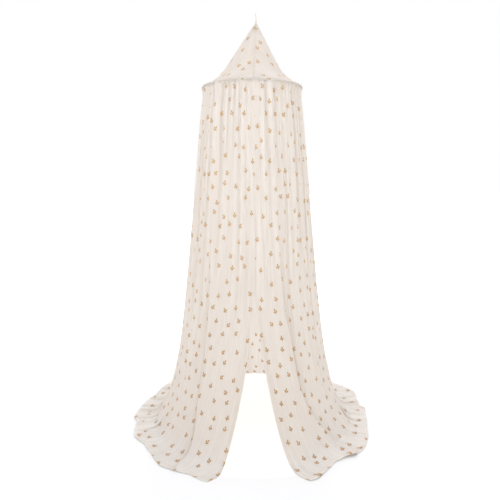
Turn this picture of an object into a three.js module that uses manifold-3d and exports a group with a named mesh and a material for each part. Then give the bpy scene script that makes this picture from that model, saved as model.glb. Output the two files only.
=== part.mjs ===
// Bed crown canopy: a cloth crown over a hoop, with a full curtain that pools on the floor.
// Millimetres, +Z up. The origin is where the ceiling hook bears in the hanging loop.
// The curtain opens towards -Y. Heights below are measured from the floor until the last line.

import * as THREE from "three";
import { mergeVertices } from "three/addons/utils/BufferGeometryUtils.js";
import Module from "manifold-3d";

const wasm = await Module();
wasm.setup();

// Overall sizes
const ringHeight = 1715;
const crownRadius = 250;
const crownHeight = 304;
const crownLean = 18;
const hemRadius = 628;

// Cloth and fit
const clothThickness = 1.2;
const seamGap = 0.3;
const flatCut = 0.5;
const cutOverrun = 20;

// Hoop
const tubeRadius = 4.5;
const tubeWall = 1.1;
const plugLength = 60;

// Hoop tunnel: the strip round the tube, its slit at the ring seam and its threading gap at the back
const tunnelSlit = 2.4;
const threadingGap = 46;

// Hanging loop
const tapeWidth = 8;
const tapeThickness = 1.6;
const loopHeight = 50;
const eyeRadius = 6.5;
const eyeNeck = 14;
const legLength = 26;

// Patch inside the tip
const patchLength = 34;
const patchThickness = 1;

// Curtain: it drops straight from the ring, spreads, flares near the floor, and turns to lie down.
// The back falls straighter than the sides, and so more of it lies on the floor.
const wallDrop = 50;
const wallSpread = 0.1;
const floorFlare = 95;
const flareHeight = 193;
const backFlareShare = 0.62;
const bendHeight = 90;
const lyingWidth = 82;
const backLyingWidth = 142;

// Front opening, and the rounding of the leaves' corners at the hem
const slitHeight = 750;
const slitHalfWidth = 156;
const slitTipSpread = 40;
const slitTipDepth = 68;

// Folds, and the long pleat of each front leaf
const foldCount = 32;
const gatherDepth = 5;
const foldDepth = 7;
const ruffleHeight = 15;
const pleatDepth = 12;
const frontFlatAngle = Math.PI * 0.3;
const sideFullAngle = Math.PI * 0.42;
const backFullAngle = Math.PI * 0.8;
const backFlatAngle = Math.PI * 0.93;
const straightStartAngle = Math.PI * 0.62;
const straightFullAngle = Math.PI * 0.92;

// Facets of a quarter of the ring and of the tube's section
const quarterSteps = 12;
const tubeSides = 12;

// Worked out from the sizes above
const facetAngle = Math.PI / 2 / quarterSteps;
const tunnelRadius = tubeRadius + seamGap + clothThickness;
const hoopRadius = crownRadius - clothThickness - seamGap - tunnelRadius;
const wrapRadius = tunnelRadius + seamGap + clothThickness / 2;
const ringClothRadius = hoopRadius + wrapRadius;
const loopLegOffset = (tapeThickness + seamGap) / 2;
const tipBore = Math.hypot(tapeWidth / 2, loopLegOffset + tapeThickness / 2) + seamGap;
const tipRadius = tipBore + clothThickness / 2;
const tipHeight = ringHeight + crownHeight;
const restHeight = clothThickness / 2 - flatCut;
const hookHeight = tipHeight + loopHeight - tapeThickness;

const white = new THREE.Color(0xf4efe6);
const ivory = new THREE.Color(0xefe6dc);

function material(color, roughness) {
  return new THREE.MeshStandardMaterial({ color, roughness, metalness: 0 });
}

function part(name, geometry, surface) {
  const mesh = new THREE.Mesh(geometry, surface);
  mesh.name = name;
  return mesh;
}

function smoothStep(start, end, value) {
  return THREE.MathUtils.smoothstep(value, start, end);
}

function mix(a, b, share) {
  return THREE.MathUtils.lerp(a, b, share);
}

// The value at a place in a table of [place, value] shares
function between(table, place) {
  const next = table.findIndex(([start]) => start >= place);
  if (next <= 0) return next === 0 ? table[0][1] : table.at(-1)[1];
  const [[before, first], [after, last]] = table.slice(next - 1, next + 1);
  return mix(first, last, (place - before) / (after - before));
}

function evenly(count) {
  return Array.from({ length: count + 1 }, (_, i) => i / count);
}

// A point about the canopy's axis: angle 0 is the front centre, positive towards +X
function polar(radius, angle, height) {
  return new THREE.Vector3(radius * Math.sin(angle), -radius * Math.cos(angle), height);
}

// Angles round the ring that its pieces share, so that their facets lie side by side
function ringStations(start, end) {
  const shared = evenly(2 * quarterSteps).map((share) => Math.PI * share);
  const inside = shared.filter((angle) => angle > start + facetAngle / 4 && angle < end - facetAngle / 4);
  return [start, ...inside, end];
}

// The same as polar, with the point drawn in on to the shared facet that its angle falls in
function ringPoint(radius, angle, height) {
  const fromMiddle = THREE.MathUtils.euclideanModulo(angle, facetAngle) - facetAngle / 2;
  return polar((radius * Math.cos(facetAngle / 2)) / Math.cos(fromMiddle), angle, height);
}

// A closed cloth body on a grid of stations. pointAt(u, v, side) gives its two faces, side +1 and -1.
function clothBody(columns, rows, pointAt) {
  const across = columns.length;
  const perFace = across * rows.length;
  const vertices = [];
  for (const side of [1, -1]) {
    for (const v of rows) {
      for (const u of columns) vertices.push(...pointAt(u, v, side).toArray());
    }
  }
  const faces = [];
  const quad = (a, b, c, d) => faces.push(a, b, c, a, c, d);
  const at = (column, row, face) => face * perFace + row * across + column;
  for (let row = 0; row < rows.length - 1; row += 1) {
    for (let column = 0; column < across - 1; column += 1) {
      quad(at(column, row, 0), at(column, row + 1, 0), at(column + 1, row + 1, 0), at(column + 1, row, 0));
      quad(at(column, row, 1), at(column + 1, row, 1), at(column + 1, row + 1, 1), at(column, row + 1, 1));
    }
  }
  const lastRow = rows.length - 1;
  const lastColumn = across - 1;
  for (let column = 0; column < lastColumn; column += 1) {
    quad(at(column, 0, 0), at(column + 1, 0, 0), at(column + 1, 0, 1), at(column, 0, 1));
    quad(at(column, lastRow, 0), at(column, lastRow, 1), at(column + 1, lastRow, 1), at(column + 1, lastRow, 0));
  }
  for (let row = 0; row < lastRow; row += 1) {
    quad(at(0, row, 0), at(0, row, 1), at(0, row + 1, 1), at(0, row + 1, 0));
    quad(at(lastColumn, row, 0), at(lastColumn, row + 1, 0), at(lastColumn, row + 1, 1), at(lastColumn, row, 1));
  }
  const geometry = new THREE.BufferGeometry();
  geometry.setAttribute("position", new THREE.Float32BufferAttribute(vertices, 3));
  geometry.setIndex(signedVolume(vertices, faces) > 0 ? faces : faces.reverse());
  geometry.computeVertexNormals();
  return geometry;
}

function signedVolume(vertices, faces) {
  const corner = (index) => new THREE.Vector3().fromArray(vertices, index * 3);
  let total = 0;
  for (let i = 0; i < faces.length; i += 3) {
    total += corner(faces[i]).dot(corner(faces[i + 1]).cross(corner(faces[i + 2])));
  }
  return total;
}

function toManifold(geometry) {
  const vertProperties = new Float32Array(geometry.getAttribute("position").array);
  const triVerts = new Uint32Array(geometry.getIndex().array);
  return new wasm.Manifold(new wasm.Mesh({ numProp: 3, vertProperties, triVerts }));
}

function fromManifold(solid) {
  const mesh = solid.getMesh();
  const geometry = new THREE.BufferGeometry();
  geometry.setAttribute("position", new THREE.BufferAttribute(mesh.vertProperties, 3));
  geometry.setIndex(Array.from(mesh.triVerts));
  geometry.computeVertexNormals();
  return geometry;
}

// The cloth that lies on the floor is cut level with it, so that it has flat faces to rest on
function cutAtFloor(geometry) {
  const reach = 2 * (hemRadius + lyingWidth + cutOverrun);
  const slab = new THREE.BoxGeometry(reach, reach, cutOverrun).translate(0, 0, -cutOverrun / 2);
  slab.deleteAttribute("normal");
  slab.deleteAttribute("uv");
  return fromManifold(toManifold(geometry).subtract(toManifold(mergeVertices(slab))));
}

// Crown: a half cone of cloth that sinks in a little, then wraps the outside of the hoop tunnel
const crownStraightShare = 0.75;
const crownFlarePower = 10;
const crownLeanPower = 1.3;
const wrapStartAngle = Math.PI * 0.38;
const coneEndRadius = hoopRadius + wrapRadius * Math.cos(wrapStartAngle);
const coneEndHeight = ringHeight + wrapRadius * Math.sin(wrapStartAngle);

function crownLeanAt(height) {
  const rise = (height - coneEndHeight) / (tipHeight - coneEndHeight);
  return crownLean * Math.pow(Math.max(rise, 0), crownLeanPower);
}

function coneRadius(share) {
  const flare = (1 - crownStraightShare) * Math.pow(share, crownFlarePower);
  return tipRadius + (coneEndRadius - tipRadius) * (crownStraightShare * share + flare);
}

// v runs 0 to 1 down the cone and 1 to 2 round the tunnel
function crownLine(v) {
  if (v > 1) {
    const angle = wrapStartAngle * (2 - v);
    const normal = new THREE.Vector2(Math.cos(angle), Math.sin(angle));
    return { radius: hoopRadius + wrapRadius * normal.x, height: ringHeight + wrapRadius * normal.y, normal };
  }
  const step = 0.01;
  const rise = (tipHeight - coneEndHeight) * step;
  const run = v < 0.5 ? coneRadius(v + step) - coneRadius(v) : coneRadius(v) - coneRadius(v - step);
  const normal = new THREE.Vector2(rise, run).normalize();
  return { radius: coneRadius(v), height: mix(tipHeight, coneEndHeight, v), normal };
}

function crownGore(side) {
  const rows = [0, 0.1, 0.25, 0.4, 0.55, 0.7, 0.8, 0.87, 0.94, 1, 1.35, 1.7, 2];
  return clothBody(ringStations(0, Math.PI), rows, (u, v, face) => {
    const line = crownLine(v);
    const radius = line.radius + (face * clothThickness * line.normal.x) / 2;
    const height = line.height + (face * clothThickness * line.normal.y) / 2;
    const seamAngle = Math.asin(seamGap / 2 / radius);
    const angle = THREE.MathUtils.clamp(u, seamAngle, Math.PI - seamAngle);
    const point = ringPoint(radius, side * angle, height);
    point.x += crownLeanAt(height);
    return point;
  });
}

// Hanging loop: tape that comes up through the tip, round the eye and back down
const loopArcHeight = tipHeight + loopHeight - tapeThickness / 2 - (eyeRadius + tapeThickness / 2);
const loopBottom = tipHeight - legLength;

function loopLine(v) {
  const reach = eyeRadius + tapeThickness / 2;
  if (v >= 1 && v <= 2) {
    const angle = Math.PI * (v - 1);
    return new THREE.Vector2(reach * Math.cos(angle), loopArcHeight + reach * Math.sin(angle));
  }
  const share = v < 1 ? v : 3 - v;
  const height = mix(loopBottom, loopArcHeight, share);
  const spread = smoothStep(tipHeight + seamGap, tipHeight + eyeNeck + eyeRadius, height);
  const offset = mix(loopLegOffset, reach, spread);
  return new THREE.Vector2(v < 1 ? offset : -offset, height);
}

function hangingLoop() {
  const leg = [0, 0.28, 0.4, 0.48, 0.56, 0.64, 0.72, 0.8, 0.9];
  const arc = evenly(8).map((share) => 1 + share);
  const rows = [...leg, ...arc, ...leg.map((share) => 3 - share).reverse()];
  return clothBody([-1, 1], rows, (u, v, face) => {
    const point = loopLine(v);
    const step = 0.02;
    const along = loopLine(Math.min(v + step, 3)).sub(loopLine(Math.max(v - step, 0))).normalize();
    const normal = new THREE.Vector2(along.y, -along.x);
    point.addScaledVector(normal, (face * tapeThickness) / 2);
    return new THREE.Vector3(crownLean + (u * tapeWidth) / 2, point.x, point.y);
  });
}

// Patch: a cone of cloth just inside the tip, round the loop's legs
function apexPatch() {
  const start = (seamGap + clothThickness) / crownHeight;
  const end = patchLength / crownHeight;
  return clothBody(evenly(20), [0, 0.5, 1], (u, v, face) => {
    const line = crownLine(mix(start, end, v));
    const middle = clothThickness / 2 + seamGap + patchThickness / 2;
    const offset = (face * patchThickness) / 2 - middle;
    const radius = line.radius + offset * line.normal.x;
    const height = line.height + offset * line.normal.y;
    const half = Math.asin(seamGap / 2 / radius);
    const point = polar(radius, mix(half, 2 * Math.PI - half, u), height);
    point.x += crownLeanAt(height);
    return point;
  });
}

// Hoop tunnel: a strip folded round the tube, open outwards at the ring seam
function hoopTunnel(side) {
  const section = tunnelRadius - clothThickness / 2;
  const slitTurn = tunnelSlit / 2 / section;
  const frontAngle = seamGap / 2 / hoopRadius;
  const backAngle = Math.PI - threadingGap / 2 / hoopRadius;
  return clothBody(ringStations(frontAngle, backAngle), evenly(tubeSides), (angle, v, face) => {
    const turn = mix(slitTurn, 2 * Math.PI - slitTurn, v);
    const reach = section + (face * clothThickness) / 2;
    const radius = hoopRadius + reach * Math.cos(turn);
    return ringPoint(radius, side * angle, ringHeight + reach * Math.sin(turn));
  });
}

// Hoop: quarter lengths of tube with plugs inside their ends
class HoopCurve extends THREE.Curve {
  constructor(start, end) {
    super();
    this.start = start;
    this.end = end;
  }

  getPoint(share) {
    return polar(hoopRadius, mix(this.start, this.end, share), ringHeight);
  }
}

function hoopSweep(section, middle, halfAngle, steps) {
  const extrudePath = new HoopCurve(middle - halfAngle, middle + halfAngle);
  return new THREE.ExtrudeGeometry(section, { steps, extrudePath, curveSegments: tubeSides / 2 });
}

function hoopArc(middle) {
  const section = new THREE.Shape().absarc(0, 0, tubeRadius, 0, 2 * Math.PI);
  section.holes.push(new THREE.Path().absarc(0, 0, tubeRadius - tubeWall, 0, 2 * Math.PI));
  return hoopSweep(section, middle, Math.PI / 4 - seamGap / 2 / hoopRadius, quarterSteps);
}

function hoopPlug(middle) {
  const section = new THREE.Shape().absarc(0, 0, tubeRadius - tubeWall - seamGap, 0, 2 * Math.PI);
  return hoopSweep(section, middle, plugLength / 2 / hoopRadius, 2);
}

// The hem's outline on the floor. Each point gives a share of half a turn from the front, and there
// the share of the lying width that the hem reaches past its radius or falls short of it.
const hemRightShares = [
  [0, 0.3], [0.13, 0.3], [0.21, -0.25], [0.24, -0.1], [0.26, 0.15], [0.3, 0.25], [0.4, -0.1], [0.47, -0.1],
  [0.5, 0.1], [0.515, -0.2], [0.56, 0.05], [0.6, 0.4], [0.68, -0.25], [0.77, -0.05], [0.88, -0.2], [1, -0.15],
];
const hemLeftShares = [
  [0, 0.15], [0.12, 0.15], [0.16, 0], [0.23, 0.25], [0.29, -0.05], [0.33, -0.1], [0.38, 0.2], [0.44, -0.1],
  [0.48, 0.15], [0.52, -0.05], [0.57, -0.1], [0.6, -0.35], [0.69, -0.1], [0.77, -0.2], [0.88, 0], [1, -0.15],
];

// What differs round the curtain: how much it falls as the back does, and how far its hem reaches
function curtainPlace(side, angle) {
  const hemShares = side > 0 ? hemRightShares : hemLeftShares;
  const back = smoothStep(straightStartAngle, straightFullAngle, angle);
  return { back, reach: hemRadius + lyingWidth * between(hemShares, angle / Math.PI) };
}

function wallRadius(height, back) {
  const fall = ringHeight - height;
  const spread = wallSpread * (fall - wallDrop * (1 - Math.exp(-fall / wallDrop)));
  const flare = Math.exp(-height / flareHeight) - Math.exp(-ringHeight / flareHeight);
  return ringClothRadius + spread + floorFlare * mix(1, backFlareShare, back) * flare;
}

// The bend from the wall to the floor runs on from the wall's slope
function bendPoint(share, back, lyingStart) {
  const top = wallRadius(bendHeight, back);
  const slope = (wallRadius(bendHeight - clothThickness, back) - top) / clothThickness;
  const knee = Math.min(top + slope * bendHeight, lyingStart);
  return new THREE.QuadraticBezierCurve(
    new THREE.Vector2(top, bendHeight),
    new THREE.Vector2(knee, restHeight),
    new THREE.Vector2(lyingStart, restHeight),
  ).getPoint(share);
}

// The line that the curtain's middle surface follows: v runs 0 to 1 down the wall, 1 to 2 round the
// bend at the floor, and 2 to 3 along the floor to the hem
function curtainLine(v, { back, reach }) {
  const lyingStart = hemRadius - mix(lyingWidth, backLyingWidth, back);
  if (v < 1) {
    const height = mix(ringHeight - seamGap, bendHeight, v);
    return new THREE.Vector2(wallRadius(height, back), height);
  }
  if (v < 2) return bendPoint(v - 1, back, lyingStart);
  return new THREE.Vector2(mix(lyingStart, reach, v - 2), restHeight);
}

function curtainNormal(v, place) {
  const step = 0.002;
  const along = curtainLine(Math.min(v + step, 3), place).sub(curtainLine(Math.max(v - step, 0), place));
  return v === 0 ? new THREE.Vector2(1, 0) : new THREE.Vector2(-along.y, along.x).normalize();
}

// The folds: one wave round the whole curtain, with its folds a little uneven in width. On the wall
// they go in from its outline, and on the floor they stand up from it.
const unevenShares = [0.62, 0.37];

function foldWave(angle) {
  const uneven = unevenShares[0] * Math.sin(3 * angle + 1) + unevenShares[1] * Math.sin(7 * angle);
  return Math.cos(foldCount * angle + uneven);
}

function ruffleShare(angle) {
  const front = smoothStep(frontFlatAngle, sideFullAngle, angle);
  return front * (1 - smoothStep(backFullAngle, backFlatAngle, angle));
}

function foldOffset(angle, v) {
  const wave = foldWave(angle);
  const depth = mix(gatherDepth, foldDepth, smoothStep(0.04, 0.5, v));
  const onWall = depth * (wave - 1) * smoothStep(0.01, 0.04, v) * (1 - smoothStep(0.9, 1.9, v));
  const onFloor = (ruffleHeight * (1 + wave) * ruffleShare(angle) * smoothStep(1, 2, v)) / 2;
  return onWall + onFloor;
}

// The long pleat of each leaf: the cloth rises to it from the opening's side, and falls steeply behind
// it. Each point gives a place down the curtain's line, and there a share of a quarter turn.
const pleatRightShares = [
  [0, 0.19], [0.35, 0.21], [0.6, 0.22], [0.8, 0.28], [0.9, 0.33], [1, 0.44], [1.5, 0.49], [3, 0.49],
];
const pleatLeftShares = [[0, 0.48], [0.35, 0.44], [0.6, 0.39], [1, 0.39], [3, 0.38]];
const pleatRiseShare = 0.14;
const pleatFallShare = 0.03;

function pleatOffset(side, angle, v) {
  const place = between(side > 0 ? pleatRightShares : pleatLeftShares, v);
  const share = angle / (Math.PI / 2);
  const rise = smoothStep(place - pleatRiseShare, place, share);
  const fall = smoothStep(place, place + pleatFallShare, share);
  return pleatDepth * (rise - fall) * smoothStep(0.1, 0.5, v);
}

// Half the angle of the front opening, from nothing at its top to its full width along the floor
const slitFloorAngle = slitHalfWidth / (hemRadius - lyingWidth);
const slitPower = 1.18;

function slitAngle(radius, height) {
  const wallAngle = slitFloorAngle * Math.pow(Math.max(1 - height / slitHeight, 0), slitPower);
  const tipShare = THREE.MathUtils.clamp((radius - hemRadius + slitTipDepth) / slitTipDepth, 0, 1);
  return wallAngle + (slitTipSpread / hemRadius) * tipShare * tipShare;
}

function curtainPanel(side, startAngle, isLeaf) {
  const rows = [0, 0.01, 0.04, 0.3, 0.56, 0.75, 0.88, 1, 1.5, 2, 2.4, 2.75, 3];
  const endAngle = startAngle + Math.PI / 2;
  return cutAtFloor(
    clothBody(evenly(40), rows, (u, v, face) => {
      const clothAngle = mix(startAngle, endAngle, u);
      const place = curtainPlace(side, mix(isLeaf ? slitFloorAngle : startAngle, endAngle, u));
      const line = curtainLine(v, place);
      const normal = curtainNormal(v, place);
      const openAngle = isLeaf ? slitAngle(line.x, line.y) : 0;
      const pleat = isLeaf ? pleatOffset(side, mix(startAngle + openAngle, endAngle, u), v) : 0;
      const offset = foldOffset(clothAngle, v) + pleat + (face * clothThickness) / 2;
      const radius = line.x + offset * normal.x;
      const height = line.y + offset * normal.y;
      const seamAngle = seamGap / 2 / radius;
      return polar(radius, side * mix(startAngle + openAngle + seamAngle, endAngle - seamAngle, u), height);
    }),
  );
}

const canopy = new THREE.Group();
const cloth = () => material(ivory, 0.95);
const plastic = () => material(white, 0.5);
canopy.add(part("hanging_loop", hangingLoop(), cloth()));
canopy.add(part("apex_patch", apexPatch(), cloth()));

for (const [word, side] of [["left", -1], ["right", 1]]) {
  canopy.add(part(`crown_gore_${word}`, crownGore(side), cloth()));
  canopy.add(part(`hoop_tunnel_${word}`, hoopTunnel(side), cloth()));
  canopy.add(part(`hoop_arc_front_${word}`, hoopArc((side * Math.PI) / 4), plastic()));
  canopy.add(part(`hoop_arc_back_${word}`, hoopArc((side * 3 * Math.PI) / 4), plastic()));
  canopy.add(part(`hoop_plug_${word}`, hoopPlug((side * Math.PI) / 2), plastic()));
  canopy.add(part(`curtain_front_${word}`, curtainPanel(side, 0, true), cloth()));
  canopy.add(part(`curtain_back_${word}`, curtainPanel(side, Math.PI / 2, false), cloth()));
}
canopy.add(part("hoop_plug_front", hoopPlug(0), plastic()));
canopy.add(part("hoop_plug_back", hoopPlug(Math.PI), plastic()));

canopy.position.set(-crownLean, 0, -hookHeight);

export default canopy;
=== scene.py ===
# Bed crown canopy: the cloth, tape and hoop as they look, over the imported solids. Metres.
import math

import bpy
import numpy as np
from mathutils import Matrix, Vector


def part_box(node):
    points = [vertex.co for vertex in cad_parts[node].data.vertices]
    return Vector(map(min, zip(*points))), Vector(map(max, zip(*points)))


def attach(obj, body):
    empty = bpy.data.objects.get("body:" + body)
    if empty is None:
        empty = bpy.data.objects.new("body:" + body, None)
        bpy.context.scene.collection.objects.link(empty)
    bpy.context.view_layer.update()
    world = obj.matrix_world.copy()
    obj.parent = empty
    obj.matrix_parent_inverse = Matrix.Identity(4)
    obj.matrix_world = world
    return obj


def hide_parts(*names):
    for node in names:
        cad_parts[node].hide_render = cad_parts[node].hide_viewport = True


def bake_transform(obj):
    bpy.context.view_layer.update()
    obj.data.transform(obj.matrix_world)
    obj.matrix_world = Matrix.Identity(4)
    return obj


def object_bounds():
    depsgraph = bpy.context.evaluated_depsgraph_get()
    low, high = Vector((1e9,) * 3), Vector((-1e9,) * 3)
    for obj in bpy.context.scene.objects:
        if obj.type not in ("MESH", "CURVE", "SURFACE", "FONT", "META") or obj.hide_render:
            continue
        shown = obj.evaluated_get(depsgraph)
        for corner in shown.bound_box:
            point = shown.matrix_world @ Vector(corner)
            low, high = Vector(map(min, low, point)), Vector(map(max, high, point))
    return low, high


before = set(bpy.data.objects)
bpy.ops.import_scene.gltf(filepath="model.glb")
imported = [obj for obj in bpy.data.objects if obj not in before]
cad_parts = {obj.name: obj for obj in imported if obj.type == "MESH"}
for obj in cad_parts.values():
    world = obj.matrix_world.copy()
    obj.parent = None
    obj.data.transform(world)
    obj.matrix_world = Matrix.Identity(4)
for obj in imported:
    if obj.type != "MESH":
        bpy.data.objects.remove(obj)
cad_low, cad_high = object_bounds()
bpy.ops.object.select_all(action="DESELECT")

# Camera: at eye height a little left of the opening, looking slightly down, as in the photograph.
# Its distance, height and tilt come from the hoop's ellipse and the hem's circle on the floor.
photo_width_px = 500
focal_px = 460
sensor_mm = 36
camera_distance = 2.39
camera_height = 1.287
camera_side = -0.0105
camera_tilt = math.radians(9.1)
camera_turn = math.radians(2.3)

arc_boxes = [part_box(name) for name in ("hoop_arc_front_left", "hoop_arc_back_right")]
hoop_low = Vector(map(min, arc_boxes[0][0], arc_boxes[1][0]))
hoop_high = Vector(map(max, arc_boxes[0][1], arc_boxes[1][1]))
hoop_centre = (hoop_low + hoop_high) / 2
floor_level = cad_low.z

sight = Vector((math.sin(camera_turn), math.cos(camera_turn), 0))
rightward = Vector((math.cos(camera_turn), -math.sin(camera_turn), 0))
camera_place = Vector((hoop_centre.x, hoop_centre.y, floor_level + camera_height))
camera_place += rightward * camera_side - sight * camera_distance
bpy.ops.object.camera_add(location=camera_place,
                          rotation=(math.pi / 2 - camera_tilt, 0, -camera_turn))
camera = bpy.context.object
camera.data.sensor_width = sensor_mm
camera.data.lens = sensor_mm * focal_px / photo_width_px
bpy.context.scene.camera = camera


# Light and ground: a pale room with wide soft lamps in front at both sides, and one behind that
# lights the inside through the cloth. To the camera the room is white and the floor is white, with
# the canopy's soft shadow, partly painted, and a painted glow inside it; the cloth is lit by them
# as by a pale room and a warm pale floor.
def linear(hex_colour):
    """An sRGB hex colour as linear red, green, blue and alpha."""
    parts = [int(hex_colour[i : i + 2], 16) / 255 for i in (1, 3, 5)]
    return (*[p / 12.92 if p <= 0.04045 else ((p + 0.055) / 1.055) ** 2.4 for p in parts], 1)


def add_node(tree, kind, inputs=(), **settings):
    """Adds a node with its settings, and returns its outputs. Each of its inputs, by place or by
    name, is given an output to link to, a number or a hex colour."""
    node = tree.nodes.new(kind)
    for name, value in settings.items():
        setattr(node, name, value)
    for socket, value in inputs.items() if isinstance(inputs, dict) else enumerate(inputs):
        if isinstance(value, bpy.types.NodeSocket):
            tree.links.new(value, node.inputs[socket])
        else:
            value = linear(value) if isinstance(value, str) else value
            node.inputs[socket].default_value = value
    return node.outputs


def background_rays(tree):
    """1 for rays that show a background: from the camera, in a gloss or through glass. Light that
    cloth scatters is a transmission ray too, but a diffuse one, and isn't among them."""
    path = add_node(tree, "ShaderNodeLightPath")
    either = add_node(tree, "ShaderNodeMath", [path["Is Camera Ray"], path["Is Glossy Ray"]],
                      operation="MAXIMUM")[0]
    clear = add_node(tree, "ShaderNodeMath",
                     [path["Is Transmission Ray"], path["Is Diffuse Ray"]],
                     operation="SUBTRACT")[0]
    return add_node(tree, "ShaderNodeMath", [either, clear], operation="MAXIMUM")[0]


room_white = "#FFFFFF"
room_colour = "#FBFCFF"
wall_light = 0.62
ceiling_light = 2.93
ceiling_start = 0.75
world = bpy.data.worlds.new("pale_room")
bpy.context.scene.world = world
world.use_nodes = True
tree = world.node_tree
tree.nodes.clear()
room_side = add_node(tree, "ShaderNodeTexCoord")["Generated"]
room_height = add_node(tree, "ShaderNodeSeparateXYZ", [room_side])["Z"]
room_light = add_node(tree, "ShaderNodeMapRange",
                      [room_height, ceiling_start, 1, wall_light, ceiling_light])[0]
felt_room = add_node(tree, "ShaderNodeBackground", [room_colour, room_light])[0]
seen_room = add_node(tree, "ShaderNodeBackground", [room_white, 1])[0]
room = add_node(tree, "ShaderNodeMixShader", [background_rays(tree), felt_room, seen_room])[0]
add_node(tree, "ShaderNodeOutputWorld", [room])
bpy.context.scene.view_settings.view_transform = "Standard"

# Each lamp's name, its place beside, in depth and above the floor, its size, its watts, and the
# height on the canopy that it faces
lamp_spread = math.radians(80)
for name, x, y, height, size, watts, lit_height in (
    ("front_left_lamp", -1.9, -2.2, 1.8, 1.4, 5.6, 1.8),
    ("front_right_lamp", 2.2, -2.0, 1.8, 1.4, 4.8, 1.8),
    ("back_lamp", 0.4, 2.8, 1.1, 1.8, 8, 0.5),
):
    lamp_place = Vector((x, y, floor_level + height))
    bpy.ops.object.light_add(type="AREA", location=lamp_place)
    lamp = bpy.context.object
    lamp.name = name
    lamp.data.shape = "SQUARE"
    lamp.data.size = size
    lamp.data.energy = watts
    lamp.data.spread = lamp_spread
    aim = Vector((hoop_centre.x, hoop_centre.y, floor_level + lit_height)) - lamp_place
    lamp.rotation_euler = aim.to_track_quat("-Z", "Y").to_euler()


def new_material(name):
    """A material with an empty node tree."""
    material = bpy.data.materials.new(name)
    material.use_nodes = True
    material.node_tree.nodes.clear()
    return material


# The floor's paint, pale and matt. To the camera it has painted shadow close beside the hem, over
# the cloth's real shadow, and a painted glow inside the canopy; further out it fades into the white
# room
floor_size = 60
floor_sink = 0.0006
floor_felt_colour = "#F9EBDB"
floor_tone = 0.88
inside_edge = (0.52, 0.6)
inside_glow = 0.47
shadow_reach = 0.12
shadow_range = (0.5, 0.97)
shadow_depth = 0.74
fade_range = (0.8, 1.3)
bpy.ops.mesh.primitive_plane_add(size=floor_size)
floor = bpy.context.object
floor.name = "pale_floor"
bpy.ops.object.mode_set(mode="EDIT")
bpy.ops.transform.translate(value=(0, 0, floor_level - floor_sink))
bpy.ops.object.mode_set(mode="OBJECT")
floor_paint = new_material("pale_floor_paint")
tree = floor_paint.node_tree
floor_place = add_node(tree, "ShaderNodeTexCoord")["Object"]
flat_place = add_node(tree, "ShaderNodeVectorMath", [floor_place, (1, 1, 0)],
                      operation="MULTIPLY")[0]
from_middle = add_node(tree, "ShaderNodeVectorMath", [flat_place], operation="LENGTH")["Value"]
faded = add_node(tree, "ShaderNodeMapRange", [from_middle, *fade_range],
                 interpolation_type="SMOOTHSTEP")[0]
inside = add_node(tree, "ShaderNodeMapRange", [from_middle, *inside_edge, 1, 0],
                  interpolation_type="SMOOTHSTEP")[0]
# Painted shadow: the floor's colour darkens close to the cloth, but not inside the canopy
close = add_node(tree, "ShaderNodeAmbientOcclusion", {"Distance": shadow_reach})["AO"]
shaded = add_node(tree, "ShaderNodeMapRange", [close, *shadow_range, shadow_depth])[0]
shaded = add_node(tree, "ShaderNodeMath", [shaded, inside], operation="MAXIMUM")[0]
toned = add_node(tree, "ShaderNodeMath", [shaded, floor_tone], operation="MULTIPLY")[0]
# A painted glow on the floor inside the canopy, and the white of the room further out
glow = add_node(tree, "ShaderNodeMath", [inside, inside_glow, faded],
                operation="MULTIPLY_ADD")[0]
lit_floor = add_node(tree, "ShaderNodeBsdfDiffuse", [toned])[0]
glowing_floor = add_node(tree, "ShaderNodeEmission", [shaded, glow])[0]
seen_floor = add_node(tree, "ShaderNodeAddShader", [lit_floor, glowing_floor])[0]
felt_floor = add_node(tree, "ShaderNodeBsdfDiffuse", [floor_felt_colour])[0]
ground = add_node(tree, "ShaderNodeMixShader", [background_rays(tree), felt_floor, seen_floor])[0]
add_node(tree, "ShaderNodeOutputMaterial", [ground])
floor.data.materials.append(floor_paint)


# Curtain: four widths of printed muslin, gathered into the ring seam and open at the front below a
# point at table height. It hangs in tucks that fade on the way down, and its double-turned stitched
# hem lies on the floor, ruffled at the sides. One long pleat in each leaf runs out to the hem.

# Its cloth is thin plain-woven cotton, washed soft, ivory with a small tan print. It scatters light
# all ways and lets a good part through, so the inside glows; close up its threads and slubs show.
# Creases and pressed tucks are drawn wider than life, because the real ones would be too fine;
# their shade is painted into the colour, as darker streaks and bands.
thread_pitch = 0.0009
# An uneven pattern's width and length, its detail and its roughness
slub_pattern = (0.0035, 0.09, 3, 0.6)
crumple_pattern = (0.05, 0.05, 4, 0.55)
crease_pattern = (0.012, 0.5, 2, 0.5)
tuck_pattern = (0.034, 1.1, 1, 0.5)
weave_depth = 0.00005
slub_depth = 0.0007
crumple_depth = 0.0030
crease_depth = 0.0070
stitch_depth = 0.0004
relief_strength = 0.6
slub_tone, crease_tone = 0.45, 0.55
tone_range = (0.38, 0.66)
tuck_range = (0.47, 0.55)
pressed_places, pressed_shares = (-1.35, -0.75), (0.25, 0.8)
sprig_pitch = (0.089, 0.063)
sprig_toss = (0.058, 0.033)
sprig_turn = math.radians(42)
leaf_half = (0.0040, 0.0069)
leaf_spread = math.radians(46)
# The sprig's upper leaf, lower leaves and stem: middle, half size and turn
sprig_parts = [((0, 0.0066), leaf_half, 0), ((0.0056, -0.0031), leaf_half, -leaf_spread),
               ((-0.0056, -0.0031), leaf_half, leaf_spread), ((0, -0.0090), (0.0018, 0.0056), 0)]
ink_range = (-0.1, 0.35)
ink_strength = 0.94
thread_half = 0.0006
stitch_length = 0.0034
stitch_share = 0.72
hem_line = 0.014
seam_lines = (0.002, 0.0085)
muslin_colour = "#FDFDFC"
muslin_shade = "#F6F4F2"
muslin_tuck_shade = "#F7F5F3"
muslin_folded = "#D2C2AE"
print_colour = "#E4CC9E"
print_deep = "#CFAA70"
thread_colour = "#F2EBE3"


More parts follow.
